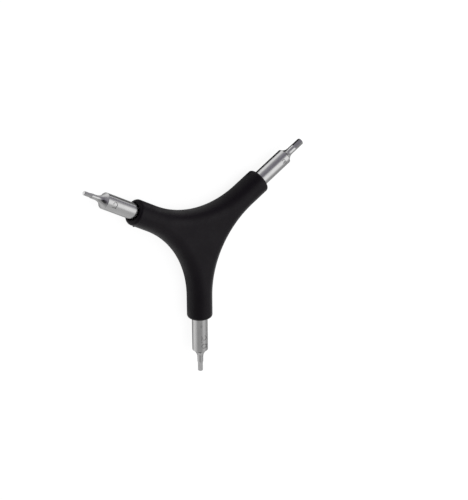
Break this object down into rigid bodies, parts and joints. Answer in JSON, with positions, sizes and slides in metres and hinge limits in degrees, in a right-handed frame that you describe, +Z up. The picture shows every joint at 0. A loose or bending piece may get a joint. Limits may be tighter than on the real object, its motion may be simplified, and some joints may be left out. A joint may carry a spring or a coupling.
{
  "type": "y-shaped hex wrench",
  "caption": "Y-shaped hand wrench: a soft rounded handle with a turned steel shank on each arm, milled to a small hex tip.",
  "frame": {"origin": "centre of the handle's flat underside", "axes": "+Z up through the handle's thickness; -Y along the arm with the 2.5 mm tip; the arm with the 3 mm tip points between +X and +Y, and the arm with the 2 mm tip between -X and +Y"},
  "size_m": [0.1283, 0.1114, 0.0129],
  "materials": {
    "grip": "matt black soft-touch elastomer with a fine moulded grain",
    "core": "black glass-filled nylon, as moulded",
    "blade": "turned alloy steel with a satin chrome plate"
  },
  "bodies": {
    "root": {"grip": "grip", "core": "core", "blade_2mm": "blade", "blade_2_5mm": "blade", "blade_3mm": "blade"}
  },
  "joints": []
}
